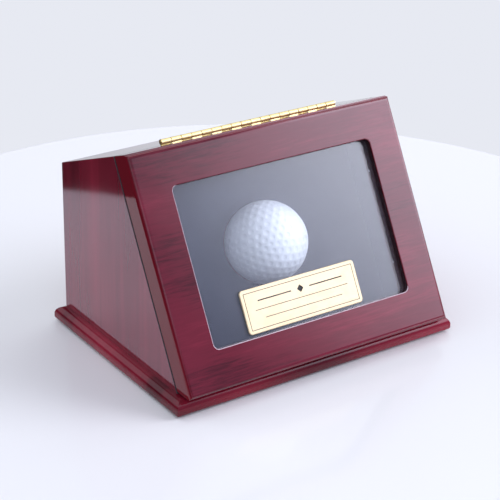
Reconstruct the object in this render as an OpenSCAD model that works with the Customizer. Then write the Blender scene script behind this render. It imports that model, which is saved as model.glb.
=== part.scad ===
// Golf ball display case: a lacquered wedge-shaped wooden box on a moulded
// base, with a leaning glazed door that hangs from a brass piano hinge.
// X runs along the width, Y from the front to the back, Z up.
// The origin is the middle of the felt that the case stands on.

/* [Case] */
// Width of the case and of its door
case_w = 156.5; // [140:0.5:175]
// Thickness of the side, top, back and front rail boards
wall = 9; // [8:0.5:10]
// Height of the back above the base board
back_h = 80.2; // [74:0.1:88]
// Depth of the top board, measured level
top_run = 53; // [46:0.5:60]
// Fall of the top board towards the back, in degrees
top_slope = 22.2; // [18:0.1:26]
// Lean of the door from upright, in degrees
door_tilt = 29; // [26:0.5:31]
// Height of the front rail, measured up the slope
rail_h = 12; // [10:0.5:13]
// Radius of the case's outer edges
edge_round = 0.8; // [0.4:0.1:1.2]

/* [Base] */
// Thickness of the base board
base_t = 7.4; // [7:0.1:9]
// How far the base stands out at each side of the case
side_reveal = 5.5; // [5:0.1:8]
// How far the base stands out in front of the case's foot
front_reveal = 9; // [7:0.5:14]
// How far the base stands out behind the case
back_reveal = 2.5; // [1:0.5:6]
// Radius of the base board's upper edge
base_round = 4.5; // [3:0.1:4.8]
// Radius of the base board's lower edge
base_under_round = 1.5; // [0.8:0.1:2]
// Thickness of the felt under the base
felt_t = 1; // [0.6:0.1:1.4]
// How far the felt stays inside the base board's edge
felt_inset = 4; // [3:0.5:8]
// Radius of the felt's corners
felt_round = 3; // [1:0.5:6]

/* [Door] */
// Thickness of the door frame
door_t = 11.8; // [10:0.1:13]
// Gap between the case's front edges and the door's back
door_gap = 0.4; // [0.35:0.01:0.5]
// Gap between the door's lower edge and the base board
door_lift = 1.2; // [0.8:0.1:2]
// Radius of the door's front edges
door_round = 2.2; // [1:0.1:3]
// Width of the door frame's top rail and stiles, seen from the front
frame_w = 19.25; // [18:0.25:24]
// Width of its bottom rail
foot_rail_w = 20.75; // [18:0.25:24]
// Radius of the window's corners
window_round = 3; // [1.5:0.5:5]
// Depth of the glass behind the door's front face
glass_set = 3.6; // [3:0.1:4.2]
// Thickness of the glass
glass_t = 1.6; // [1.5:0.1:2]
// Width of the step behind the window that the glass lies on
rabbet_w = 4; // [3:0.5:6]
// Clearance round the glass in its step
glass_play = 0.4; // [0.2:0.1:0.6]
// Thickness of the strips that hold the glass in
bead_t = 5; // [3:0.1:5]
// Diameter of the pins that hold the strips
bead_pin_d = 1; // [0.8:0.1:1.2]
// Length of these pins
bead_pin_l = 9; // [7:0.5:11]
// Distance of these pins from the ends of each strip
bead_pin_inset = 16; // [8:1:20]

/* [Hinge] */
// Number of knuckles along the hinge
knuckles = 18; // [12:2:20]
// Length of one knuckle with its gap
knuckle_pitch = 5.8; // [5:0.1:7]
// Gap between two knuckles
knuckle_gap = 0.3; // [0.2:0.05:0.5]
// Outer diameter of the knuckles
barrel_d = 2.8; // [2.6:0.1:3.4]
// Gap between the knuckles and the boards below them
barrel_gap = 0.15; // [0.1:0.05:0.3]
// Diameter of the hinge pin
pin_d = 1.3; // [1.1:0.05:1.4]
// Radial play of the pin in the knuckles
pin_play = 0.05; // [0.03:0.01:0.08]
// Thickness of the hinge leaves
leaf_t = 0.6; // [0.5:0.05:0.8]
// Height of the hinge leaves below the knuckles
leaf_h = 7.8; // [7:0.1:8]
// Gap between the two leaves when the door is shut
leaf_gap = 0.2; // [0.1:0.05:0.3]
// Play of the leaves in their recesses
leaf_play = 0.05; // [0.03:0.01:0.1]
// Number of screws in each leaf
leaf_screws = 5; // [3:2:5]
// Distance between these screws
leaf_screw_pitch = 22; // [18:1:24]

/* [Name plate] */
// Width of the plate
plate_w = 69; // [50:1:80]
// Height of the plate
plate_h = 22; // [16:0.5:26]
// Thickness of the plate
plate_t = 0.8; // [0.6:0.1:1]
// Radius of the plate's corners
plate_round = 2; // [1:0.5:3]
// Gap between the window's lower edge and the plate
plate_up = 1.4; // [1:0.1:4]
// How far the plate sits to the left of the middle
plate_left = 2.5; // [0:0.5:10]
// Thickness of the tape under the plate
tape_t = 0.25; // [0.2:0.05:0.4]
// How far the tape stays inside the plate's edge
tape_inset = 1; // [0.5:0.5:2]
// Width and depth of the engraved lines
engrave = 0.3; // [0.2:0.05:0.35]
// Distance of the engraved border from the plate's edge
border_inset = 1.8; // [1.2:0.1:3]

/* [Ball and display board] */
// Diameter of the golf ball
ball_d = 42.67; // [42.6:0.01:42.8]
// Gap between the ball and the back of the glass
ball_clear = 0.35; // [0.3:0.05:0.6]
// Height of the ball's centre above the window's centre, up the slope
ball_up = 2.6; // [-4:0.1:6]
// Distance of the ball's centre in front of the velvet
ball_out = 8.7; // [7.5:0.1:9.5]
// Gap between the ball and the rim of its hole
seat_gap = 0.3; // [0.3:0.05:0.4]
// Thickness of the display board
board_t = 5; // [4:0.5:6]
// Thickness of the velvet and of the lining
cloth_t = 0.8; // [0.6:0.1:1]
// Play of the velvet's sleeve in the hole
sleeve_play = 0.1; // [0.05:0.05:0.2]
// Play of the display board and of the lining between the walls
board_play = 0.3; // [0.2:0.05:0.5]
// Width and depth of the cleats behind the display board
cleat = 8; // [6:0.5:10]

/* [Screws and bumpers] */
// Diameter of the base screws
base_screw_d = 3; // [2.6:0.1:3.4]
// Head diameter of the base screws
base_head_d = 6; // [5.4:0.1:6.4]
// Length of the base screws
base_screw_l = 18; // [14:1:22]
// Distance of the side screws from the front and back of the case's foot
base_screw_inset = 20; // [15:1:26]
// Distance of the back screws from the middle
back_screw_x = 40; // [20:1:52]
// Diameter of the leaf screws
leaf_screw_d = 1.6; // [1.4:0.1:1.8]
// Head diameter of the leaf screws
leaf_head_d = 2.8; // [2.5:0.1:3.2]
// Length of the leaf screws
leaf_screw_l = 7; // [5:0.5:7.5]
// Radial play of screws and pins in their holes
screw_play = 0.06; // [0.04:0.01:0.1]
// Diameter of the felt bumpers behind the door
bumper_d = 6; // [5:0.5:7]
// Thickness of these bumpers
bumper_t = 1.2; // [1:0.1:1.6]
// Gap between the bumpers and the shut door
bumper_gap = 0.1; // [0.05:0.05:0.15]
// Distance of the bumpers from the inner side walls
bumper_inset = 9; // [6:0.5:14]

/* [Hidden] */
$fn = 64;

// A cut runs this far past the face it opens
past = 1;
// Play between a strip that holds the glass and the wall of its step
bead_play = 0.1;
// Extra space between the knuckles and the upper edge of the leaves' flat part
leaf_drop = 0.05;
// Longer than any piece of the case
far = 400;

wood = [0.36, 0.05, 0.07];
dark_wood = [0.20, 0.04, 0.05];
brass = [0.80, 0.62, 0.25];
steel = [0.62, 0.63, 0.65];
velvet = [0.04, 0.04, 0.05];

// Case outline, seen from the side as [y, z]
base_top = felt_t + base_t;
ridge_rise = back_h + top_run * tan(top_slope);
base_w = case_w + 2 * side_reveal;
base_d = back_reveal + top_run + ridge_rise * tan(door_tilt) + front_reveal;
case_back = base_d / 2 - back_reveal;
back_top = base_top + back_h;
ridge_y = case_back - top_run;
ridge_z = base_top + ridge_rise;
inner_w = case_w - 2 * wall;
lean = door_tilt - top_slope;
// Level of the inner corner between the top and back boards
corner_z = ridge_z - (top_run - wall) * tan(top_slope) - wall / cos(top_slope);

// Places on the leaning front: s up the slope from the ridge, n out of the case
function at(s, n) = [
    ridge_y + s * sin(door_tilt) - n * cos(door_tilt),
    ridge_z + s * cos(door_tilt) + n * sin(door_tilt)
];
// The s at which a layer n meets the level z
function s_level(z, n) = (z - ridge_z - n * sin(door_tilt)) / cos(door_tilt);
// The s at which a layer n lies this deep below the top board's upper face
function s_below_top(depth, n) = -(depth + n * sin(lean)) / cos(lean);
// The y at which a layer n meets the level z
function y_level(z, n) = at(s_level(z, n), n)[0];

// Door layers
door_back = door_gap;
door_front = door_gap + door_t;
door_foot = base_top + door_lift;
glass_front = door_front - glass_set;
glass_back = glass_front - glass_t;
door_top_s = s_below_top(0, door_front);
door_low_s = s_level(door_foot, door_front);
window_top_s = door_top_s - frame_w;
window_low_s = door_low_s + foot_rail_w;
window_h = window_top_s - window_low_s;
window_w = case_w - 2 * frame_w;
window_s = (window_top_s + window_low_s) / 2;
rabbet_inner = window_w + 2 * rabbet_w;
rabbet_high = window_h + 2 * rabbet_w;
bead_w = rabbet_w - bead_play;

// Hinge
hinge_l = knuckles * knuckle_pitch;
axis_n = door_gap / 2;
axis_s = (barrel_d / 2 + barrel_gap) / cos(lean);
leaf_top = axis_s - barrel_d / 2 - barrel_gap - leaf_drop;
leaf_low = leaf_top - leaf_h;
case_leaf_n = axis_n - leaf_gap / 2;
door_leaf_n = axis_n + leaf_gap / 2;
leaf_screw_s = leaf_top - leaf_h / 2;

// Ball and the board that it sits in
ball_r = ball_d / 2;
ball_n = glass_back - ball_clear - ball_r;
ball_s = window_s + ball_up;
seat_r = sqrt(pow(ball_r + seat_gap, 2) - pow(ball_out, 2));
velvet_front = ball_n - ball_out;
board_front = velvet_front - cloth_t;
board_back = board_front - board_t;
cleat_back = board_back - cleat;

// Front rail and the bumpers on it
rail_low_s = s_level(base_top, 0);
rail_top_s = rail_low_s + rail_h;
rail_back_y = at(rail_top_s, -wall)[0];
bumper_x = inner_w / 2 - bumper_inset;
bumper_s = rail_low_s + rail_h / 2;
bumper_top = door_back - bumper_gap;

// Screws: [x, y] of those in the base
base_screw_xy = [
    for (side = [-1, 1]) for (y = [y_level(base_top, 0) + base_screw_inset,
                                   case_back - base_screw_inset])
        [side * (case_w - wall) / 2, y],
    for (side = [-1, 1]) [side * back_screw_x, case_back - wall / 2]
];
leaf_screw_x = [for (i = [0 : leaf_screws - 1]) (i - (leaf_screws - 1) / 2) * leaf_screw_pitch];

// Placing and outline helpers
module along_x(w) {
    rotate([90, 0, 90]) linear_extrude(height = w, center = true) children();
}

module along_y(d) {
    rotate([90, 0, 0]) linear_extrude(height = d, center = true) children();
}

module on_front() {
    translate([0, ridge_y, ridge_z]) rotate([90 - door_tilt, 0, 0]) children();
}

module rounded_rect(w, h, r) {
    square([w - 2 * r, h], center = true);
    square([w, h - 2 * r], center = true);
    for (x = [-1, 1]) for (y = [-1, 1])
        translate([x * (w / 2 - r), y * (h / 2 - r)]) circle(r);
}

// What a round takes off a corner that lies at the origin with its inside along +X
module corner_off(r, angle) {
    half = angle / 2;
    tangent = r / tan(half) * [cos(half), sin(half)];
    outer = tangent + past * [-sin(half), cos(half)];
    difference() {
        polygon([
            [r / sin(half), 0], tangent, outer, [-past / sin(half), 0],
            [outer[0], -outer[1]], [tangent[0], -tangent[1]]
        ]);
        translate([r / sin(half), 0]) circle(r);
    }
}

// A bar's section, centred on X, with its upper and lower edges round
module edged_bar(w, h, top_r, low_r) {
    difference() {
        translate([-w / 2, 0]) square([w, h]);
        for (m = [0, 1]) mirror([m, 0]) {
            translate([w / 2, h]) rotate(225) corner_off(top_r, 90);
            translate([w / 2, 0]) rotate(135) corner_off(low_r, 90);
        }
    }
}

// A countersunk screw that points along +Z, its head's face at z = 0
module screw(d, head_d, l) {
    head_h = (head_d - d) / 2;
    tip = d;
    cylinder(h = head_h, d1 = head_d, d2 = d);
    translate([0, 0, head_h]) cylinder(h = l - head_h - tip, d = d);
    translate([0, 0, l - tip]) cylinder(h = tip, d1 = d, d2 = d / 4);
}

// The hole for such a screw, with its countersink
module screw_hole(d, head_d, l) {
    head_h = (head_d - d) / 2;
    wide = 2 * screw_play;
    cylinder(h = head_h, d1 = head_d + wide, d2 = d + wide);
    cylinder(h = l + screw_play, d = d + wide);
}

// A layer of the case's inside, seen from the side, from the floor to the top board
module layer(n_back, n_front, roof) {
    polygon([
        at(s_level(base_top, n_back), n_back),
        at(s_level(base_top, n_front), n_front),
        at(s_below_top(roof, n_front), n_front),
        at(s_below_top(roof, n_back), n_back)
    ]);
}

// Bars along the case's top and back, from sections whose origin is the left edge
module along_top() {
    translate([-case_w / 2, ridge_y, ridge_z]) rotate([-top_slope, 0, 0])
        along_y(far) children();
}

module along_back() {
    translate([-case_w / 2, case_back, 0])
        linear_extrude(height = far, center = true) children();
}

// Section across the case, this deep, its outer edges round and its sides cut to a mitre
module across_section(depth, mitre) {
    difference() {
        polygon([[0, 0], [case_w, 0], [case_w - mitre, -depth], [mitre, -depth]]);
        rotate(-45) corner_off(edge_round, 90);
        translate([case_w, 0]) rotate(-135) corner_off(edge_round, 90);
    }
}

// Section of a side panel, its outer edge round and cut to a mitre
module side_section() {
    difference() {
        polygon([[0, -far], [0, 0], [wall, -wall], [wall, -far]]);
        rotate(-45) corner_off(edge_round, 90);
    }
}

module back_top_edge_off() {
    angle = 90 + top_slope;
    translate([case_back, back_top]) rotate(-90 - angle / 2) corner_off(edge_round, angle);
}

module base_screw_places() {
    for (p = base_screw_xy) translate([p[0], p[1], felt_t]) children();
}

module base_screw_holes() {
    base_screw_places() screw_hole(base_screw_d, base_head_d, base_screw_l);
}

// Base
module base_board() {
    color(wood) difference() {
        translate([0, 0, felt_t]) intersection() {
            along_x(base_w + 2 * past) edged_bar(base_d, base_t, base_round, base_under_round);
            along_y(base_d + 2 * past) edged_bar(base_w, base_t, base_round, base_under_round);
        }
        base_screw_holes();
    }
}

module base_felt() {
    color([0.05, 0.05, 0.06]) linear_extrude(height = felt_t)
        rounded_rect(base_w - 2 * felt_inset, base_d - 2 * felt_inset, felt_round);
}

module base_screws() {
    color(steel) base_screw_places() screw(base_screw_d, base_head_d, base_screw_l);
}

// Case boards
module side_panel(side) {
    color(wood) mirror([side > 0 ? 1 : 0, 0, 0]) difference() {
        intersection() {
            along_x(far) polygon([
                at(rail_low_s, 0), at(past, 0), [base_d, at(past, 0)[1]], [base_d, base_top]
            ]);
            along_top() side_section();
            along_back() side_section();
        }
        base_screw_holes();
    }
}

module left_side_panel() {
    side_panel(-1);
}

module right_side_panel() {
    side_panel(1);
}

module back_panel() {
    color(wood) difference() {
        intersection() {
            along_x(far) difference() {
                polygon([
                    [case_back, base_top], [case_back, back_top],
                    [case_back - wall, corner_z], [case_back - wall, base_top]
                ]);
                back_top_edge_off();
            }
            along_back() across_section(wall + past, wall + past);
        }
        base_screw_holes();
    }
}

module top_panel() {
    color(wood) difference() {
        intersection() {
            along_x(far) difference() {
                polygon([
                    [ridge_y, ridge_z], [case_back, back_top],
                    [case_back - wall, corner_z], at(s_below_top(wall, 0), 0)
                ]);
                back_top_edge_off();
            }
            along_top() across_section(wall + past, wall + past);
        }
        on_front() leaf_recess(case_leaf_n - leaf_t);
        case_leaf_screws() screw_hole(leaf_screw_d, leaf_head_d, leaf_screw_l);
    }
}

module front_rail() {
    color(wood) difference() {
        along_x(inner_w) polygon([
            at(rail_low_s, 0), at(rail_top_s, 0), at(rail_top_s, -wall), [rail_back_y, base_top]
        ]);
        bumper_places() translate([0, 0, bumper_top - bumper_t])
            cylinder(h = bumper_t + past, d = bumper_d + 2 * screw_play);
    }
}

module bumper_places() {
    on_front() for (side = [-1, 1]) translate([side * bumper_x, bumper_s, 0]) children();
}

module door_bumpers() {
    color(velvet) bumper_places() translate([0, 0, bumper_top - bumper_t])
        cylinder(h = bumper_t, d = bumper_d);
}

// Display board, its velvet, cleats and lining
module cleat_bar(side) {
    color(dark_wood) translate([side * (inner_w - cleat) / 2, 0, 0])
        along_x(cleat) layer(cleat_back, board_back, wall + board_play);
}

module left_cleat() {
    cleat_bar(-1);
}

module right_cleat() {
    cleat_bar(1);
}

module display_board() {
    color(dark_wood) difference() {
        along_x(inner_w - 2 * board_play) layer(board_back, board_front, wall + board_play);
        on_front() translate([0, ball_s, board_back - past])
            cylinder(h = board_t + 2 * past, r = seat_r + cloth_t + sleeve_play);
    }
}

module display_velvet() {
    color(velvet) difference() {
        union() {
            along_x(inner_w - 2 * board_play) layer(board_front, velvet_front, wall + board_play);
            on_front() translate([0, ball_s, board_back])
                cylinder(h = board_t + cloth_t / 2, r = seat_r + cloth_t);
        }
        on_front() translate([0, ball_s, board_back - past])
            cylinder(h = board_t + cloth_t + 2 * past, r = seat_r);
    }
}

module side_lining(side) {
    floor_z = base_top + cloth_t;
    color(velvet) translate([side * (inner_w - cloth_t) / 2, 0, 0]) along_x(cloth_t) polygon([
        at(rail_top_s + board_play, -board_play),
        at(s_below_top(wall, -board_play), -board_play),
        at(s_below_top(wall, velvet_front), velvet_front),
        [y_level(floor_z, velvet_front), floor_z],
        [rail_back_y + board_play, floor_z],
        at(rail_top_s + board_play, -wall)
    ]);
}

module left_lining() {
    side_lining(-1);
}

module right_lining() {
    side_lining(1);
}

module top_lining() {
    n_low = velvet_front + board_play;
    color(velvet) along_x(inner_w - 2 * cloth_t) polygon([
        at(s_below_top(wall, -board_play), -board_play),
        at(s_below_top(wall, n_low), n_low),
        at(s_below_top(wall + cloth_t, n_low), n_low),
        at(s_below_top(wall + cloth_t, -board_play), -board_play)
    ]);
}

module floor_lining() {
    floor_z = base_top + cloth_t;
    n_low = velvet_front + board_play;
    color(velvet) along_x(inner_w) polygon([
        [rail_back_y + board_play, base_top],
        [rail_back_y + board_play, floor_z],
        [y_level(floor_z, n_low), floor_z],
        [y_level(base_top, n_low), base_top]
    ]);
}

// Hinge: the odd knuckles belong to the door
module knuckle_row(first) {
    for (i = [first : 2 : knuckles - 1])
        translate([i * knuckle_pitch + knuckle_gap / 2 - hinge_l / 2, axis_s, axis_n])
            rotate([0, 90, 0]) cylinder(h = knuckle_pitch - knuckle_gap, d = barrel_d);
}

module knuckle_necks(first, low_n) {
    for (i = [first : 2 : knuckles - 1])
        translate([i * knuckle_pitch + knuckle_gap / 2 - hinge_l / 2, leaf_top - past, low_n])
            cube([knuckle_pitch - knuckle_gap, axis_s - leaf_top + past, leaf_t]);
}

module leaf(first, low_n) {
    difference() {
        union() {
            translate([-hinge_l / 2, leaf_low, low_n]) cube([hinge_l, leaf_h, leaf_t]);
            knuckle_necks(first, low_n);
            knuckle_row(first);
        }
        translate([-hinge_l, axis_s, axis_n]) rotate([0, 90, 0])
            cylinder(h = 2 * hinge_l, d = pin_d + 2 * pin_play);
    }
}

module leaf_recess(low_n) {
    translate([-hinge_l / 2 - leaf_play, leaf_low - leaf_play, low_n])
        cube([hinge_l + 2 * leaf_play, leaf_h + past, leaf_t]);
}

module case_leaf_screws() {
    on_front() for (x = leaf_screw_x) translate([x, leaf_screw_s, case_leaf_n])
        rotate([180, 0, 0]) children();
}

module door_leaf_screws() {
    on_front() for (x = leaf_screw_x) translate([x, leaf_screw_s, door_leaf_n]) children();
}

module hinge_case_leaf() {
    color(brass) difference() {
        on_front() leaf(0, case_leaf_n - leaf_t);
        case_leaf_screws() screw_hole(leaf_screw_d, leaf_head_d, leaf_screw_l);
    }
}

module hinge_door_leaf() {
    color(brass) difference() {
        on_front() leaf(1, door_leaf_n);
        door_leaf_screws() screw_hole(leaf_screw_d, leaf_head_d, leaf_screw_l);
    }
}

module hinge_case_screws() {
    color(brass) case_leaf_screws() screw(leaf_screw_d, leaf_head_d, leaf_screw_l);
}

module hinge_door_screws() {
    color(brass) door_leaf_screws() screw(leaf_screw_d, leaf_head_d, leaf_screw_l);
}

module hinge_pin() {
    color(brass) on_front() translate([-hinge_l / 2, axis_s, axis_n])
        rotate([0, 90, 0]) cylinder(h = hinge_l, d = pin_d);
}

// Door frame: its section seen from the side, as [s, n], with round front edges
module door_side_section() {
    low_angle = 90 - door_tilt;
    top_angle = 90 - lean;
    difference() {
        polygon([
            [s_level(door_foot, door_back), door_back], [door_low_s, door_front],
            [door_top_s, door_front], [s_below_top(0, door_back), door_back]
        ]);
        translate([door_low_s, door_front]) rotate(-low_angle / 2)
            corner_off(door_round, low_angle);
        translate([door_top_s, door_front]) rotate(180 + top_angle / 2)
            corner_off(door_round, top_angle);
    }
}

// The same door's section seen along its height, as [x, n]
module door_end_section() {
    difference() {
        translate([-case_w / 2, door_back]) square([case_w, door_t]);
        for (m = [0, 1]) mirror([m, 0]) translate([case_w / 2, door_front])
            rotate(225) corner_off(door_round, 90);
    }
}

module door_frame() {
    color(wood) difference() {
        intersection() {
            on_front() along_x(far) door_side_section();
            on_front() along_y(far) door_end_section();
            along_top() across_section(far / 2, 0);
        }
        on_front() translate([0, window_s, 0]) {
            linear_extrude(height = far, center = true)
                rounded_rect(window_w, window_h, window_round);
            translate([0, 0, -past]) linear_extrude(height = glass_front + past)
                rounded_rect(rabbet_inner, rabbet_high, window_round);
        }
        on_front() leaf_recess(door_leaf_n);
        on_front() bead_pin_places()
            cylinder(h = bead_pin_l + screw_play, d = bead_pin_d + 2 * screw_play);
        door_leaf_screws() screw_hole(leaf_screw_d, leaf_head_d, leaf_screw_l);
    }
}

module window_glass() {
    color([0.75, 0.82, 0.85, 0.35]) on_front() translate([0, window_s, glass_back])
        linear_extrude(height = glass_t)
            rounded_rect(rabbet_inner - 2 * glass_play, rabbet_high - 2 * glass_play, window_round);
}

// Strips that hold the glass, and their pins
bead_mid_n = glass_back - bead_t / 2;
bead_x = window_w / 2 + rabbet_w - bead_w;
bead_y = window_h / 2 + rabbet_w - bead_w;

module bead_pin_places() {
    for (side = [-1, 1]) {
        for (x = [-1, 1])
            translate([x * (window_w / 2 - bead_pin_inset), window_s + side * bead_y, bead_mid_n])
                rotate([-side * 90, 0, 0]) children();
        for (y = [-1, 1])
            translate([side * bead_x, window_s + y * (window_h / 2 - bead_pin_inset), bead_mid_n])
                rotate([0, side * 90, 0]) children();
    }
}

module bead_outline() {
    difference() {
        rounded_rect(rabbet_inner, rabbet_high, window_round);
        square([2 * bead_x, 2 * bead_y], center = true);
    }
}

module beads() {
    color(dark_wood) on_front() difference() {
        translate([0, window_s, glass_back - bead_t]) intersection() {
            linear_extrude(height = bead_t) bead_outline();
            children();
        }
        bead_pin_places() translate([0, 0, -past])
            cylinder(h = bead_pin_l + past, d = bead_pin_d + 2 * screw_play);
    }
}

module glass_bead_top() {
    beads() translate([-far / 2, bead_y, -past]) cube([far, far, far]);
}

module glass_bead_bottom() {
    beads() translate([-far / 2, -bead_y - far, -past]) cube([far, far, far]);
}

module glass_bead_left() {
    beads() translate([-bead_x - far, -bead_y, -past]) cube([far, 2 * bead_y, far]);
}

module glass_bead_right() {
    beads() translate([bead_x, -bead_y, -past]) cube([far, 2 * bead_y, far]);
}

module bead_pins() {
    color(steel) on_front() bead_pin_places() cylinder(h = bead_pin_l, d = bead_pin_d);
}

// Plate on the glass, with an engraved border, rules and a lozenge in place of wording
plate_s = window_low_s + plate_up + plate_h / 2;
rule_gap = plate_h / 5;
rule_l = plate_w - 4 * border_inset;
lozenge = plate_h / 8;

module plate_outline(inset) {
    rounded_rect(plate_w - 2 * inset, plate_h - 2 * inset, max(plate_round - inset, engrave));
}

module plate_tape() {
    color([0.85, 0.85, 0.82]) on_front() translate([-plate_left, plate_s, glass_front])
        linear_extrude(height = tape_t) plate_outline(tape_inset);
}

module name_plate() {
    color([0.90, 0.78, 0.45]) on_front() translate([-plate_left, plate_s, glass_front + tape_t])
        difference() {
            linear_extrude(height = plate_t) plate_outline(0);
            translate([0, 0, plate_t - engrave]) linear_extrude(height = past) {
                difference() {
                    plate_outline(border_inset);
                    plate_outline(border_inset + engrave);
                }
                for (side = [-1, 1]) {
                    translate([side * rule_l / 4, rule_gap])
                        square([rule_l / 2 - 4 * lozenge, 2 * engrave], center = true);
                    translate([0, -side * rule_gap / 2 - rule_gap / 2])
                        square([rule_l * (side > 0 ? 0.75 : 0.9), engrave], center = true);
                }
                translate([0, rule_gap]) rotate([0, 0, 45]) square(lozenge, center = true);
            }
        }
}

// The ball in its seat
module golf_ball() {
    color("white") on_front() translate([0, ball_s, ball_n]) sphere(r = ball_r);
}

base_board();
base_felt();
base_screws();
left_side_panel();
right_side_panel();
back_panel();
top_panel();
front_rail();
left_cleat();
right_cleat();
display_board();
display_velvet();
left_lining();
right_lining();
top_lining();
floor_lining();
door_bumpers();
hinge_case_leaf();
hinge_case_screws();
hinge_pin();
hinge_door_leaf();
hinge_door_screws();
door_frame();
window_glass();
glass_bead_top();
glass_bead_bottom();
glass_bead_left();
glass_bead_right();
bead_pins();
name_plate();
plate_tape();
golf_ball();
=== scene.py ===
from math import atan2, cos, pi, radians, sin

import bmesh
import bpy
from mathutils import Matrix, Vector


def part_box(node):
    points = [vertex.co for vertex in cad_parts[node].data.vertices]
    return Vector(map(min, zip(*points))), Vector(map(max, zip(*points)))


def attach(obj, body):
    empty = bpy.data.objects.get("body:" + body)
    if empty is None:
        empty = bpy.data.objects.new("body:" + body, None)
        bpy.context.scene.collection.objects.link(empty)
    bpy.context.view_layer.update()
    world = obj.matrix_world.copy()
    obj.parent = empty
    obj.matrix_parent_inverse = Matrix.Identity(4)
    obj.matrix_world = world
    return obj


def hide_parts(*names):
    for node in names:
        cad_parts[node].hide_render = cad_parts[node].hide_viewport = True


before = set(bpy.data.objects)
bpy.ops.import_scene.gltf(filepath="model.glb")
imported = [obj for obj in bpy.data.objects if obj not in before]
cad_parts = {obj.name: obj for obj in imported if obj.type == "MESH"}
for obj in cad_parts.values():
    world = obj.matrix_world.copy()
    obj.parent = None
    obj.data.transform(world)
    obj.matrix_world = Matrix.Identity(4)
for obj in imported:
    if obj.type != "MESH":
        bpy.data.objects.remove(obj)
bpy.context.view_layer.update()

# Camera
# It stands in front of the case's left corner, above it, and looks down at the
# leaning door. Its place was fitted to the case's own edges in the photograph.
yaw, pitch, roll = radians(-34.805), radians(25.245), radians(-1.156)
aim = Vector((-0.00287, -0.00098, 0.04471))
distance = 0.8596
focal_pixels, picture_pixels, sensor_mm = 1685.8, 500, 36
ahead = Vector((-sin(yaw) * cos(pitch), cos(yaw) * cos(pitch), -sin(pitch)))
side = Vector((cos(yaw), sin(yaw), 0))
down = ahead.cross(side)
right = cos(roll) * side + sin(roll) * down
below = -sin(roll) * side + cos(roll) * down
lens = bpy.data.cameras.new("camera")
lens.sensor_width = sensor_mm
lens.sensor_fit = "HORIZONTAL"
lens.lens = focal_pixels / picture_pixels * sensor_mm
lens.clip_start = 0.05
camera = bpy.data.objects.new("camera", lens)
bpy.context.collection.objects.link(camera)
camera.matrix_world = Matrix.Translation(aim - distance * ahead) @ Matrix(
    (right, -below, -ahead)).transposed().to_4x4()
bpy.context.scene.camera = camera
bpy.context.scene.view_settings.view_transform = "Standard"


# Table
# The case stands on a round white lacquered table top, 53 cm across, whose far
# edge curves across the picture. It is the floor of the scene.
def new_material(name):
    material = bpy.data.materials.new(name)
    material.use_nodes = True
    tree = material.node_tree
    return material, tree, tree.nodes["Principled BSDF"]


def new_piece(name, bm):
    mesh = bpy.data.meshes.new(name)
    bm.to_mesh(mesh)
    bm.free()
    piece = bpy.data.objects.new(name, mesh)
    bpy.context.collection.objects.link(piece)
    return piece


table_radius, table_thickness, table_round = 0.2648, 0.018, 0.003
table_x, table_y = 0.0230, 0.0215
hair = 1e-5  # points closer than this are level with each other
bm = bmesh.new()
bmesh.ops.create_cone(bm, cap_ends=True, segments=256, radius1=table_radius, radius2=table_radius,
                      depth=table_thickness)
rims = [e for e in bm.edges if abs(e.verts[0].co.z - e.verts[1].co.z) < hair]
bmesh.ops.bevel(bm, geom=rims, offset=table_round, segments=6, profile=0.5, affect="EDGES",
                material=-1)
bmesh.ops.translate(bm, verts=bm.verts, vec=(table_x, table_y, -table_thickness / 2))
for face in bm.faces:
    face.smooth = len(face.verts) == 4
table = new_piece("table", bm)
material, tree, shader = new_material("white_table")
shader.inputs["Base Color"].default_value = (0.865, 0.862, 0.848, 1)
shader.inputs["Coat Weight"].default_value = 0.7
shader.inputs["Coat Roughness"].default_value = 0.06
shader.inputs["Roughness"].default_value = 0.5
table.data.materials.append(material)


# Studio light
# Soft daylight from round panels: a bright one in front at the right, whose soft
# edge the door and the glass mirror, and weaker ones in front, above and behind.
# The camera sees a plain pale backdrop in their place.
def add_node(tree, kind, **settings):
    node = tree.nodes.new(kind)
    for name, value in settings.items():
        setattr(node, name, value)
    return node


def feed(tree, socket, value):
    """Give a socket a plain value, or join it to another node's output."""
    if isinstance(value, bpy.types.NodeSocket):
        tree.links.new(value, socket)
    else:
        socket.default_value = value


# Each panel's direction, the angles from its middle, in degrees, at which its light
# ends and is full, and its light.
panels = {
    "in front, at the right": ((0.755, -0.474, 0.455), 25, 9, (5.90, 6.00, 6.90)),
    "in front, right of the middle": ((0.40, -0.80, 0.42), 38, 14, (0.40, 0.40, 0.58)),
    "in front, left of the middle": ((-0.35, -0.80, 0.48), 36, 12, (0.80, 0.86, 1.04)),
    "above the front": ((0.05, -0.35, 0.94), 36, 18, (0.20, 0.20, 0.22)),
    "above the right": ((0.50, 0.15, 0.85), 24, 8, (1.80, 1.83, 1.96)),
    "overhead": ((0.10, 0.00, 0.99), 45, 20, (0.25, 0.26, 0.28)),
    "above the left": ((-0.62, 0.00, 0.78), 48, 18, (1.08, 1.13, 1.30)),
    "behind, at the left": ((-0.45, 0.70, 0.55), 28, 12, (1.20, 1.25, 1.40)),
    "behind, at the right": ((0.80, 0.60, 0.05), 50, 20, (0.80, 0.83, 0.90)),
}
light = (0.025, 0.026, 0.031)  # the dim room between the panels
world = bpy.data.worlds.new("studio")
bpy.context.scene.world = world
world.use_nodes = True
tree = world.node_tree
tree.nodes.clear()
direction = add_node(tree, "ShaderNodeTexCoord").outputs["Generated"]
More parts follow.
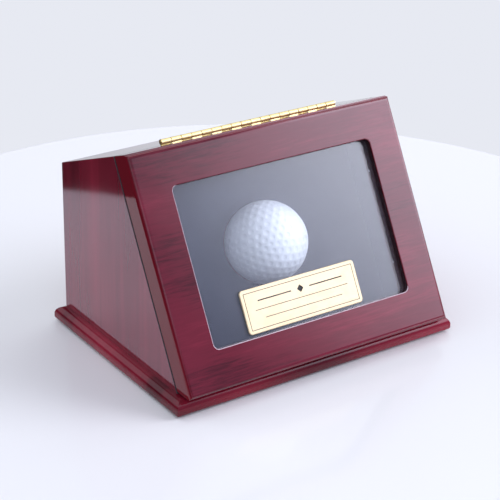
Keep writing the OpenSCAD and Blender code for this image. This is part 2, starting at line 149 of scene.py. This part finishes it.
for toward, ends, full, colour in panels.values():
    facing = add_node(tree, "ShaderNodeVectorMath", operation="DOT_PRODUCT")
    feed(tree, facing.inputs[0], direction)
    feed(tree, facing.inputs[1], Vector(toward).normalized())
    fade = add_node(tree, "ShaderNodeMapRange", interpolation_type="SMOOTHSTEP")
    feed(tree, fade.inputs["Value"], facing.outputs["Value"])
    feed(tree, fade.inputs["From Min"], cos(radians(ends)))
    feed(tree, fade.inputs["From Max"], cos(radians(full)))
    lit = add_node(tree, "ShaderNodeVectorMath", operation="MULTIPLY_ADD")
    for socket, value in zip(lit.inputs, (fade.outputs["Result"], colour, light)):
        feed(tree, socket, value)
    light = lit.outputs["Vector"]
studio = add_node(tree, "ShaderNodeBackground")
feed(tree, studio.inputs["Color"], light)
backdrop = add_node(tree, "ShaderNodeBackground")
feed(tree, backdrop.inputs["Color"], (0.80, 0.82, 0.89, 1))
seen = add_node(tree, "ShaderNodeLightPath").outputs["Is Camera Ray"]
shown = add_node(tree, "ShaderNodeMixShader")
for socket, value in zip(shown.inputs, (seen, studio.outputs[0], backdrop.outputs[0])):
    feed(tree, socket, value)
feed(tree, add_node(tree, "ShaderNodeOutputWorld").inputs["Surface"], shown.outputs[0])


# Base board
# One board of rosewood-stained hardwood with a round nosing worked on its upper
# edge, under several coats of clear gloss lacquer, polished until it mirrors.
def group_tree(name, inputs, outputs):
    """A node group for an effect that more than one material uses, and its inner sockets."""
    group = bpy.data.node_groups.new(name, "ShaderNodeTree")
    for way, sockets in (("INPUT", inputs), ("OUTPUT", outputs)):
        for label, kind in sockets.items():
            group.interface.new_socket(name=label, in_out=way, socket_type="NodeSocket" + kind)
    return group, add_node(group, "NodeGroupInput").outputs, add_node(group, "NodeGroupOutput").inputs


def place_group(tree, group, **values):
    """Put an effect in a material; the values go by the names of the group's inputs."""
    node = add_node(tree, "ShaderNodeGroup", node_tree=group)
    for name, value in values.items():
        feed(tree, node.inputs[name], value)
    return node.outputs


def position(tree):
    """Each point's place in metres, as the piece lies at rest."""
    return add_node(tree, "ShaderNodeTexCoord").outputs["Object"]


def noise(tree, vector, scale, detail=2.0, roughness=0.5, distortion=0.0):
    """Noise with this many waves per metre along X, Y and Z."""
    stretch = add_node(tree, "ShaderNodeMapping")
    feed(tree, stretch.inputs["Vector"], vector)
    feed(tree, stretch.inputs["Scale"], scale)
    node = add_node(tree, "ShaderNodeTexNoise")
    feed(tree, node.inputs["Vector"], stretch.outputs[0])
    feed(tree, node.inputs["Scale"], 1)
    feed(tree, node.inputs["Detail"], detail)
    feed(tree, node.inputs["Roughness"], roughness)
    feed(tree, node.inputs["Distortion"], distortion)
    return node.outputs["Fac"]


def maths(tree, operation, *values):
    node = add_node(tree, "ShaderNodeMath", operation=operation)
    for socket, value in zip(node.inputs, values):
        feed(tree, socket, value)
    return node.outputs[0]


def vary(tree, value, by, start):
    """Start where value is 0, and start + by where it is 1."""
    return maths(tree, "MULTIPLY_ADD", value, by, start)


def overlay(tree, tone, layer, weight):
    """The tone with a layer of noise added about its mean."""
    return maths(tree, "MULTIPLY_ADD", maths(tree, "SUBTRACT", layer, 0.5), weight, tone)


def mix(tree, kind, amount, first, second):
    """First where amount is 0 and second where it is 1; kind is FLOAT or RGBA."""
    node = add_node(tree, "ShaderNodeMix", data_type=kind)
    # The node has its own sockets for each kind, so they go by number.
    start, end, result = {"FLOAT": (2, 3, 0), "RGBA": (6, 7, 2)}[kind]
    for socket, value in ((0, amount), (start, first), (end, second)):
        feed(tree, node.inputs[socket], value)
    return node.outputs[result]


def blend(tree, value, first, second, low, high):
    """Colour first where value is below low, second above high, a soft step between."""
    step = add_node(tree, "ShaderNodeMapRange", interpolation_type="SMOOTHSTEP")
    feed(tree, step.inputs["Value"], value)
    feed(tree, step.inputs["From Min"], low)
    feed(tree, step.inputs["From Max"], high)
    return mix(tree, "RGBA", step.outputs["Result"], first, second)


def raise_surface(tree, shader, height, strength, distance):
    bump = add_node(tree, "ShaderNodeBump")
    feed(tree, bump.inputs["Height"], height)
    feed(tree, bump.inputs["Strength"], strength)
    feed(tree, bump.inputs["Distance"], distance)
    feed(tree, shader.inputs["Normal"], bump.outputs[0])


wood_grain, given, made = group_tree(
    "wood_grain",
    {"Vector": "Vector", "Deep": "Color", "Middle": "Color", "Pale": "Color", "Streak": "Float",
     "Fleck": "Float"},
    {"Color": "Color", "Fibre": "Float", "Polish": "Float", "Ripple": "Float"})
vector = given["Vector"]
tone = noise(wood_grain, vector, (9, 22, 22), detail=2)  # broad clouds, with the rest on them
streaks = noise(wood_grain, vector, (7, 170, 170), detail=3, distortion=0.5)
flecks = noise(wood_grain, vector, (75, 900, 900), detail=3, roughness=0.6, distortion=0.4)
fibres = noise(wood_grain, vector, (120, 2600, 2600), detail=2, roughness=0.6)
fibre_weight = 0.08
deep_below, middle_at, pale_above = 0.26, 0.50, 0.76
for layer, weight in ((streaks, given["Streak"]), (flecks, given["Fleck"]), (fibres, fibre_weight)):
    tone = overlay(wood_grain, tone, layer, weight)
stain = blend(wood_grain, tone, given["Deep"], given["Middle"], low=deep_below, high=middle_at)
stain = blend(wood_grain, tone, stain, given["Pale"], low=middle_at, high=pale_above)
feed(wood_grain, made["Color"], stain)
feed(wood_grain, made["Fibre"], fibres)
feed(wood_grain, made["Polish"], noise(wood_grain, vector, (45, 60, 60), detail=3, roughness=0.6))
feed(wood_grain, made["Ripple"], noise(wood_grain, vector, (60, 110, 110), detail=1))


def lacquered_rosewood(name, turn, shift, streak, fleck, red=1.0, haze=0.01, gloss=1.5, breadth=1.0,
                       tint=(1, 1, 1, 1)):
    """Rosewood stain under gloss lacquer.

    The grain runs along X, turned by turn and moved by shift. Red and breadth are for
    the stain and its figure, and haze, gloss and tint for the lacquer's reflection.
    """
    material, tree, shader = new_material(name)
    mapping = add_node(tree, "ShaderNodeMapping")
    feed(tree, mapping.inputs["Vector"], position(tree))
    feed(tree, mapping.inputs["Rotation"], [radians(angle) for angle in turn])
    feed(tree, mapping.inputs["Location"], shift)
    feed(tree, mapping.inputs["Scale"], [1 / breadth] * 3)
    wood = place_group(tree, wood_grain, Vector=mapping.outputs[0], Streak=streak, Fleck=fleck,
                       Deep=(0.052 * red, 0.0036, 0.0095, 1), Middle=(0.132 * red, 0.0095, 0.0235, 1),
                       Pale=(0.205 * red, 0.0165, 0.0385, 1))
    feed(tree, shader.inputs["Base Color"], wood["Color"])
    feed(tree, shader.inputs["Roughness"], vary(tree, wood["Polish"], by=0.06, start=haze))
    feed(tree, shader.inputs["IOR"], gloss)
    feed(tree, shader.inputs["Specular Tint"], tint)
    raise_surface(tree, shader, wood["Ripple"], strength=0.10, distance=0.0002)
    return material


def finish_node(name, material):
    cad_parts[name].material_slots[0].material = material


finish_node("base_board", lacquered_rosewood("rosewood_base", turn=(0, 0, 0), shift=(0.3, 0.1, 0.2),
                                             streak=0.20, fleck=0.12, red=1.5, gloss=1.35))

# Base screws and glass pins
# Six zinc-plated countersunk screws come up through the base into the walls, and
# eight plain steel pins hold the strips behind the glass.
metal_finish, given, made = group_tree(
    "metal_finish",
    {"Vector": "Vector", "Bright": "Color", "Tarnish": "Color", "Dullness": "Float"},
    {"Color": "Color", "Roughness": "Float", "Scratches": "Float"})
patches = noise(metal_finish, given["Vector"], (150, 150, 150), detail=3, roughness=0.6)
scratches = noise(metal_finish, given["Vector"], (60, 2800, 2800), detail=2, roughness=0.7)
rubbed_dull = overlay(metal_finish, given["Dullness"], scratches, weight=0.22)
feed(metal_finish, made["Color"],
     blend(metal_finish, patches, given["Tarnish"], given["Bright"], low=0.28, high=0.60))
feed(metal_finish, made["Roughness"], vary(metal_finish, patches, by=0.06, start=rubbed_dull))
feed(metal_finish, made["Scratches"], scratches)


def metal(name, bright, tarnish, dullness, scratched):
    """Bare metal, scratched along X, with a faint tarnish in patches."""
    material, tree, shader = new_material(name)
    surface = place_group(tree, metal_finish, Vector=position(tree), Bright=(*bright, 1),
                          Tarnish=(*tarnish, 1), Dullness=dullness)
    feed(tree, shader.inputs["Base Color"], surface["Color"])
    feed(tree, shader.inputs["Roughness"], surface["Roughness"])
    feed(tree, shader.inputs["Metallic"], 1)
    raise_surface(tree, shader, surface["Scratches"], strength=scratched, distance=0.00005)
    return material


steel = metal("zinc_steel", bright=(0.72, 0.73, 0.75), tarnish=(0.50, 0.51, 0.52), dullness=0.35,
              scratched=0.15)
for name in ("base_screws", "bead_pins"):
    finish_node(name, steel)


# Base felt
# A sheet of black felt glued under the base, so that the case doesn't scratch what
# it stands on, and two dots of the same felt on the front rail, which the door meets.
def cad_copy(node):
    """The node's shape as joined faces that can be worked on."""
    bm = bmesh.new()
    bm.from_mesh(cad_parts[node].data)
    bmesh.ops.remove_doubles(bm, verts=bm.verts, dist=1e-6)
    bmesh.ops.dissolve_limit(bm, angle_limit=radians(0.5), verts=bm.verts, edges=bm.edges)
    return bm


def corners(bm, limit=30):
    """The edges where two faces meet at more than limit degrees."""
    return [e for e in bm.edges if len(e.link_faces) == 2 and e.calc_face_angle(0) > radians(limit)]


small_face = 0.00012  # square metres; every face of a round is smaller
sharp_corner = radians(40)


def soften(bm, edges, width, segments=2):
    """Round these edges; big faces stay flat, and the narrow ones of a round are smooth."""
    rounds = set()
    if edges:
        rounds = set(bmesh.ops.bevel(bm, geom=edges, offset=width, segments=segments, profile=0.5,
                                     affect="EDGES", material=-1, clamp_overlap=True)["faces"])
    for face in bm.faces:
        face.smooth = face.calc_area() < small_face
    for edge in bm.edges:
        beside_round = len(rounds.intersection(edge.link_faces)) == 1
        edge.smooth = edge.calc_face_angle(0) < sharp_corner and not beside_round


cloth_pile, given, made = group_tree(
    "cloth_pile",
    {"Vector": "Vector", "Shade": "Color", "Tip": "Color", "Fineness": "Float"},
    {"Color": "Color", "Roughness": "Float", "Pile": "Float"})
nap = noise(cloth_pile, given["Vector"], (45, 45, 45), detail=3, roughness=0.6, distortion=0.6)
pile = add_node(cloth_pile, "ShaderNodeTexNoise")
for name, value in (("Vector", given["Vector"]), ("Scale", given["Fineness"]), ("Detail", 2),
                    ("Roughness", 0.7)):
    feed(cloth_pile, pile.inputs[name], value)
pile = pile.outputs["Fac"]
tone = overlay(cloth_pile, nap, pile, weight=0.9)
feed(cloth_pile, made["Color"],
     blend(cloth_pile, tone, given["Shade"], given["Tip"], low=0.28, high=0.76))
feed(cloth_pile, made["Roughness"], vary(cloth_pile, nap, by=0.2, start=0.78))
feed(cloth_pile, made["Pile"], pile)


def cloth(name, shade, tip, sheen, fineness, raised):
    material, tree, shader = new_material(name)
    surface = place_group(tree, cloth_pile, Vector=position(tree), Shade=(*shade, 1), Tip=(*tip, 1),
                          Fineness=fineness)
    feed(tree, shader.inputs["Base Color"], surface["Color"])
    feed(tree, shader.inputs["Roughness"], surface["Roughness"])
    feed(tree, shader.inputs["Specular IOR Level"], 0.1)
    feed(tree, shader.inputs["Sheen Weight"], sheen)
    feed(tree, shader.inputs["Sheen Roughness"], 0.45)
    feed(tree, shader.inputs["Sheen Tint"], (0.75, 0.85, 1.0, 1))
    raise_surface(tree, shader, surface["Pile"], strength=raised, distance=0.0003)
    return material


def cloth_piece(piece_name, node, material, edge):
    """The node's shape with its corners rounded by this much, in this cloth."""
    bm = cad_copy(node)
    soften(bm, corners(bm), edge)
    piece = new_piece(piece_name, bm)
    piece.data.materials.append(material)
    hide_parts(node)
    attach(piece, "case")


felt_edge = 0.00025
felt = cloth("black_felt", shade=(0.007, 0.007, 0.008), tip=(0.020, 0.020, 0.023), sheen=0.15,
             fineness=1500, raised=0.8)
cloth_piece("felt_sheet", "base_felt", felt, felt_edge)
cloth_piece("felt_dots", "door_bumpers", felt, felt_edge)

# Case boards
# Two walls, a back and a top of 9 mm board, mitred and glued, and a low front rail.
# They are stained and lacquered, the grain upright on walls and back and across on
# top and rail. The sloping front edges, which the door shuts over, are unlacquered and
# painted near black, as painted shade in the gap under the door.
top_spots = [v.co.copy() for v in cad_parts["top_panel"].data.vertices]
ridge = max(top_spots, key=lambda spot: spot.z)  # upper end of the walls' sloping edges
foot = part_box("front_rail")[0]  # their lower end
slope = atan2(ridge.z - foot.z, ridge.y - foot.y)
on_front = Matrix.Translation((0, ridge.y, ridge.z)) @ Matrix.Rotation(slope, 4, "X")
outward = on_front.col[2].xyz

gap_shade_unlacquered, given, made = group_tree(
    "gap_shade_unlacquered",
    {"Vector": "Vector", "Color": "Color", "Roughness": "Float", "Side": "Float", "Limit": "Float",
     "Mask": "Float"},
    {"Color": "Color", "Roughness": "Float"})
height = add_node(gap_shade_unlacquered, "ShaderNodeVectorMath", operation="DOT_PRODUCT")
feed(gap_shade_unlacquered, height.inputs[0], given["Vector"])
feed(gap_shade_unlacquered, height.inputs[1], outward)
beyond = maths(gap_shade_unlacquered, "SUBTRACT", height.outputs["Value"], ridge.dot(outward))
for operation, name in (("MULTIPLY", "Side"), ("GREATER_THAN", "Limit"), ("MAXIMUM", "Mask")):
    beyond = maths(gap_shade_unlacquered, operation, beyond, given[name])
# The near-black colour is painted shade, for the dark gap between the door and the case.
feed(gap_shade_unlacquered, made["Color"],
     mix(gap_shade_unlacquered, "RGBA", beyond, given["Color"], (0.012, 0.003, 0.004, 1)))
feed(gap_shade_unlacquered, made["Roughness"], mix(gap_shade_unlacquered, "FLOAT", beyond, given["Roughness"], 0.85))


def paint_gap_shade(material, side, limit, mask=0.0):
    """No lacquer, and a near-black painted shade, where mask is 1, or past limit from the walls' sloping
    edges.

    Side is 1 to measure outwards from them and -1 to measure inwards.
    """
    tree = material.node_tree
    shader = tree.nodes["Principled BSDF"]
    colour, roughness = (shader.inputs[name].links[0].from_socket for name in ("Base Color", "Roughness"))
    wood = place_group(tree, gap_shade_unlacquered, Vector=position(tree), Color=colour, Roughness=roughness,
                       Side=side, Limit=limit, Mask=mask)
    feed(tree, shader.inputs["Base Color"], wood["Color"])
    feed(tree, shader.inputs["Roughness"], wood["Roughness"])


edge_strip = 0.0006  # the lacquer ends this far behind the sloping edges
upright = lacquered_rosewood("rosewood_upright", turn=(0, 90, 0), shift=(0.15, 0.4, 0.1), streak=0.65,
                             fleck=0.06, red=1.40, haze=0.06, gloss=1.95, breadth=1.8,
                             tint=(1, 0.93, 1.05, 1))
across = lacquered_rosewood("rosewood_across", turn=(0, 0, 0), shift=(0.7, 0.3, 0.5), streak=0.50,
                            fleck=0.25)
# The walls' sloping front edges are painted near black, as painted shade in the door's gap.
for material, names in ((upright, ("left_side_panel", "right_side_panel", "back_panel")),
                        (across, ("top_panel", "front_rail"))):
    paint_gap_shade(material, side=1, limit=-edge_strip)
    for name in names:
        finish_node(name, material)

# Display board and cleats
# A sloping board with the ball's hole rests on two strips on the walls. They and the
# strips behind the glass are stained dark but not polished, as they don't show.
material, tree, shader = new_material("stained_wood")
wood = place_group(tree, wood_grain, Vector=position(tree), Streak=0.7, Fleck=0.3,
                   Deep=(0.020, 0.007, 0.005, 1), Middle=(0.060, 0.018, 0.012, 1),
                   Pale=(0.110, 0.036, 0.022, 1))
feed(tree, shader.inputs["Base Color"], wood["Color"])
feed(tree, shader.inputs["Roughness"], vary(tree, wood["Fibre"], by=0.3, start=0.40))
raise_surface(tree, shader, wood["Fibre"], strength=0.3, distance=0.0002)
for name in ("display_board", "left_cleat", "right_cleat", "glass_bead_top", "glass_bead_bottom",
             "glass_bead_left", "glass_bead_right"):
    finish_node(name, material)

# Velvet
# Charcoal velvet is glued over the display board, tucked into the ball's hole, and
# glued to thin card round the space in front of it.
velvet_edge = 0.00030
velvet = cloth("charcoal_velvet", shade=(0.030, 0.033, 0.046), tip=(0.053, 0.059, 0.080), sheen=0.33,
               fineness=2600, raised=0.35)
for piece_name, node in (("velvet_face", "display_velvet"), ("left_wall_velvet", "left_lining"),
                         ("right_wall_velvet", "right_lining"), ("top_wall_velvet", "top_lining"),
                         ("floor_velvet", "floor_lining")):
    cloth_piece(piece_name, node, velvet, velvet_edge)


# Door frame
# One board with the window cut in it, its grain running across, lacquered as the
# case is. Its front edges are round, the window's edge is just eased, and the back
# is unlacquered and painted near black, as painted shade in the gap against the case.
def slope_box(node):
    """The node's lowest and highest corners, measured across, up and out from the ridge."""
    spots = [on_front.inverted() @ v.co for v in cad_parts[node].data.vertices]
    return [Vector([pick(spot[axis] for spot in spots) for axis in range(3)]) for pick in (min, max)]


door_low, door_high = slope_box("door_frame")
pane_low, pane_high = slope_box("window_glass")
ease = 0.0005
back_strip = 0.0003  # the lacquer ends this far in front of the door's back


def by_window(point):
    return pane_low.x < point.x < pane_high.x and pane_low.y < point.y < pane_high.y


bm = cad_copy("door_frame")
bmesh.ops.transform(bm, matrix=on_front.inverted(), verts=bm.verts)
window_edge = [e for e in corners(bm, 60)
               if all(door_high.z - v.co.z < hair and by_window(v.co) for v in e.verts)]
soften(bm, window_edge, ease, segments=3)
end_grain, reveal_painted_shade, painted_highlight_edge, gap_shade_back = (
    bm.faces.layers.float.new(mask) for mask in ("end_grain", "reveal_painted_shade", "painted_highlight_edge", "gap_shade_back"))
for face in bm.faces:
    spot, normal = face.calc_center_median(), face.normal
    face[end_grain] = normal.x ** 2
    # The window's reveal, inside the opening, is marked for painted shade.
    face[reveal_painted_shade] = by_window(spot) and abs(normal.z) < 0.1
    # The eased edge's faces at the window's left and bottom carry a painted highlight.
    face[painted_highlight_edge] = by_window(spot) and spot.z > door_high.z - ease and max(normal.x, normal.y) > 0.1
    face[gap_shade_back] = normal.z < -0.9
bmesh.ops.transform(bm, matrix=on_front, verts=bm.verts)
door_board = new_piece("door_board", bm)
material = lacquered_rosewood("rosewood_door", turn=(-61, 0, 0), shift=(0.1, 0.8, 0.3), streak=0.35,
                              fleck=0.36, red=1.15)
tree = material.node_tree
shader = tree.nodes["Principled BSDF"]


def marked(tree, mask):
    """1 on the faces that carry this mark."""
    return add_node(tree, "ShaderNodeAttribute", attribute_name=mask).outputs["Fac"]


colour = shader.inputs["Base Color"].links[0].from_socket
# The pale tint on the window's left and bottom eased edges is a painted highlight.
# The reveal's near-black tint is painted shade in the window's recess.
for mask, tint in (("end_grain", (0.165, 0.0060, 0.0140, 1)), ("reveal_painted_shade", (0.022, 0.002, 0.004, 1)),
                   ("painted_highlight_edge", (0.60, 0.45, 0.50, 1))):
    colour = blend(tree, marked(tree, mask), colour, tint, low=0.2, high=0.9)
feed(tree, shader.inputs["Base Color"], colour)
# The door's back and the strip beside it are painted near black, as painted shade in its gap.
paint_gap_shade(material, side=-1, limit=-(door_low.z + back_strip), mask=marked(tree, "gap_shade_back"))
door_board.data.materials.append(material)
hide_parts("door_frame")
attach(door_board, "door")

# Window glass
# A flat pane of 1.6 mm glass in the door's rear step, with a trace of dust and
# wiping marks on it, which show as a faint bluish veil.
material, tree, shader = new_material("clear_pane")
feed(tree, shader.inputs["Base Color"], (0.97, 0.99, 0.98, 1))
feed(tree, shader.inputs["IOR"], 1.52)
feed(tree, shader.inputs["Transmission Weight"], 1)
contrast, dullest = 4, 0.12
smear = noise(tree, position(tree), (14, 30, 30), detail=4, roughness=0.6, distortion=1.5)
wiped = maths(tree, "MULTIPLY", maths(tree, "POWER", smear, contrast), dullest)
feed(tree, shader.inputs["Roughness"], wiped)
raise_surface(tree, shader, smear, strength=0.0015, distance=0.0001)
dust_share = 0.03
dust = add_node(tree, "ShaderNodeBsdfDiffuse")
feed(tree, dust.inputs["Color"], (0.62, 0.70, 0.95, 1))
dusty = add_node(tree, "ShaderNodeMixShader")
for socket, value in zip(dusty.inputs, (dust_share, shader.outputs[0], dust.outputs[0])):
    feed(tree, socket, value)
clear = add_node(tree, "ShaderNodeBsdfTransparent")
shadow = add_node(tree, "ShaderNodeLightPath").outputs["Is Shadow Ray"]
pane = add_node(tree, "ShaderNodeMixShader")
for socket, value in zip(pane.inputs, (shadow, dusty.outputs[0], clear.outputs[0])):
    feed(tree, socket, value)
feed(tree, tree.nodes["Material Output"].inputs["Surface"], pane.outputs[0])
finish_node("window_glass", material)

# Name plate
# A satin gold-coloured metal plate with bevelled edges. Its engraved border, rules
# and lozenge are filled with black paint. A grey adhesive sheet holds it on the glass.
plate_bevel, border_margin = 0.00035, 0.0010
engraved_from, engraved_to = 0.00005, 0.0004  # depths below the plate's face
metal_share = 0.6
plate_low, plate_high = slope_box("name_plate")


def inside_border(point):
    return (plate_low.x + border_margin < point.x < plate_high.x - border_margin
            and plate_low.y + border_margin < point.y < plate_high.y - border_margin)


bm = cad_copy("name_plate")
bmesh.ops.transform(bm, matrix=on_front.inverted(), verts=bm.verts)
rim = [e for e in corners(bm) if all(abs(v.co.z - plate_high.z) < hair for v in e.verts)
       and not inside_border((e.verts[0].co + e.verts[1].co) / 2)]
soften(bm, rim, plate_bevel)
engraved = bm.faces.layers.float.new("engraved")
for face in bm.faces:
    middle = face.calc_center_median()
    face[engraved] = inside_border(middle) and engraved_from < plate_high.z - middle.z < engraved_to
bmesh.ops.transform(bm, matrix=on_front, verts=bm.verts)
plate = new_piece("engraved_plate", bm)
material = metal("satin_gold", bright=(0.91, 0.75, 0.49), tarnish=(0.87, 0.70, 0.44), dullness=0.42,
                 scratched=0.20)
tree = material.node_tree
shader = tree.nodes["Principled BSDF"]
painted = marked(tree, "engraved")
gold = shader.inputs["Base Color"].links[0].from_socket
feed(tree, shader.inputs["Base Color"], mix(tree, "RGBA", painted, gold, (0.012, 0.010, 0.009, 1)))
feed(tree, shader.inputs["Metallic"], vary(tree, painted, by=-metal_share, start=metal_share))
plate.data.materials.append(material)
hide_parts("name_plate")
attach(plate, "door")

material, tree, shader = new_material("adhesive_tape")
foam = noise(tree, position(tree), (900, 900, 900), detail=2, roughness=0.7)
feed(tree, shader.inputs["Base Color"],
     blend(tree, foam, (0.10, 0.105, 0.115, 1), (0.20, 0.205, 0.215, 1), low=0.3, high=0.7))
feed(tree, shader.inputs["Roughness"], vary(tree, foam, by=0.2, start=0.4))
raise_surface(tree, shader, foam, strength=0.5, distance=0.0001)
finish_node("plate_tape", material)

# Hinge
# A polished brass piano hinge between the top board and the door. Its knuckles are
# rolled from the leaves round a wire, and slotted countersunk screws hold it.
leaf_round = 0.00006
brass = metal("polished_brass", bright=(0.97, 0.82, 0.42), tarnish=(0.90, 0.72, 0.33), dullness=0.42,
              scratched=0.12)
finish_node("hinge_pin", brass)
for piece_name, node, body in (("case_hinge_leaf", "hinge_case_leaf", "case"),
                               ("door_hinge_leaf", "hinge_door_leaf", "door")):
    bm = cad_copy(node)
    soften(bm, corners(bm, 50), leaf_round)
    leaf = new_piece(piece_name, bm)
    leaf.data.materials.append(brass)
    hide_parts(node)
    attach(leaf, body)

head_radius, shank_radius, screw_length = 0.0014, 0.0008, 0.0070
head_height = head_radius - shank_radius
tip_radius, neck_radius = shank_radius * 0.55, shank_radius * 0.98
slot_length, slot_width, slot_depth, slot_round = 0.0023, 0.00036, 0.00030, 0.00005
screw_pitch, screws = 0.022, 5
slot_turn = 1.9  # radians from one screw's slot to the next, as the driver leaves them


def moved(found):
    return [part for part in found["geom"] if isinstance(part, bmesh.types.BMVert)]


def top_faces(bm):
    return [face for face in bm.faces if all(abs(v.co.z) < hair for v in face.verts)]


for piece_name, node, body, turn in (("case_leaf_screws", "hinge_case_screws", "case", 0),
                                     ("door_leaf_screws", "hinge_door_screws", "door", pi)):
    bm = bmesh.new()
    for length, low_radius, high_radius, middle in (
            (head_height, shank_radius, head_radius, -head_height / 2),
            (screw_length - head_height, tip_radius, neck_radius, -(screw_length + head_height) / 2)):
        bmesh.ops.create_cone(bm, cap_ends=True, segments=32, radius1=low_radius, radius2=high_radius,
                              depth=length, matrix=Matrix.Translation((0, 0, middle)))
    for cut_way, reach in ((Vector((0, 1, 0)), slot_width / 2), (Vector((1, 0, 0)), slot_length / 2)):
        for way in (-1, 1):
            tops = top_faces(bm)
            borders = dict.fromkeys(part for face in tops for part in (*face.edges, *face.verts))
            bmesh.ops.bisect_plane(bm, geom=[*tops, *borders], plane_co=way * reach * cut_way,
                                   plane_no=cut_way)
    slot = min(top_faces(bm), key=lambda face: face.calc_center_median().length)
    slot_floor = moved(bmesh.ops.extrude_face_region(bm, geom=[slot]))
    bmesh.ops.translate(bm, verts=slot_floor, vec=(0, 0, -slot_depth))
    soften(bm, [e for e in corners(bm, 60) if max(v.co.z for v in e.verts) > -hair], slot_round)
    one_screw = bm.faces[:] + bm.edges[:] + bm.verts[:]
    for count in range(1, screws):
        spots = moved(bmesh.ops.duplicate(bm, geom=one_screw))
        bmesh.ops.rotate(bm, verts=spots, matrix=Matrix.Rotation(count * slot_turn, 3, "Z"))
        bmesh.ops.translate(bm, verts=spots, vec=(count * screw_pitch, 0, 0))
    bmesh.ops.translate(bm, verts=bm.verts, vec=(-(screws - 1) / 2 * screw_pitch, 0, 0))
    # The heads lie at the outer side of the case's leaf and the inner side of the door's.
    low, high = slope_box(node)
    head_place = (0, (low.y + high.y) / 2, low.z if turn else high.z)
    bmesh.ops.transform(bm, verts=bm.verts, matrix=on_front @ Matrix.Translation(head_place)
                        @ Matrix.Rotation(turn, 4, "X"))
    row = new_piece(piece_name, bm)
    row.data.materials.append(brass)
    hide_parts(node)
    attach(row, body)

# Golf ball
# A moulded ball in glossy white cover plastic, with 362 round dimples laid out on
# an icosahedron, each sunk in two steps that the smoothing turns into a dish.
ball_radius = 0.04267 / 2
edge_cuts = 5
dimple_reach = 42  # percent of the way from one dimple's middle to the next
land_drop = 0.00002
dimple_steps = ((0.00030, 0.00011), (0.00050, 0.00016))  # width and depth of each
ball_rolled = Matrix.Rotation(radians(24), 3, (0.5, 0.3, 0.8))
low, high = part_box("golf_ball")
bm = bmesh.new()
bmesh.ops.create_icosphere(bm, subdivisions=1, radius=ball_radius)
bmesh.ops.subdivide_edges(bm, edges=bm.edges, cuts=edge_cuts, use_grid_fill=True)
for vert in bm.verts:
    vert.co = vert.co.normalized() * ball_radius
dimples = bmesh.ops.bevel(bm, geom=bm.verts[:], offset=dimple_reach, offset_type="PERCENT", segments=1,
                          profile=0.5, affect="VERTICES", material=-1)["faces"]
for vert in bm.verts:
    vert.co = vert.co.normalized() * (ball_radius - land_drop)
for width, depth in dimple_steps:
    bmesh.ops.inset_individual(bm, faces=dimples, thickness=width, depth=-depth)
for face in bm.faces:
    face.smooth = True
bmesh.ops.rotate(bm, verts=bm.verts, matrix=ball_rolled)
bmesh.ops.translate(bm, verts=bm.verts, vec=(low + high) / 2)
ball = new_piece("dimpled_ball", bm)
smooth = ball.modifiers.new("smooth", "SUBSURF")
smooth.levels = smooth.render_levels = 2
material, tree, shader = new_material("ball_cover")
scuff = noise(tree, position(tree), (180, 180, 180), detail=4, roughness=0.65)
cover = noise(tree, position(tree), (60, 60, 60), detail=2)
feed(tree, shader.inputs["Base Color"],
     blend(tree, cover, (0.62, 0.66, 0.71, 1), (0.69, 0.73, 0.79, 1), low=0.3, high=0.7))
feed(tree, shader.inputs["Roughness"], vary(tree, scuff, by=0.18, start=0.20))
raise_surface(tree, shader, scuff, strength=0.05, distance=0.0001)
ball.data.materials.append(material)
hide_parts("golf_ball")
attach(ball, "ball")
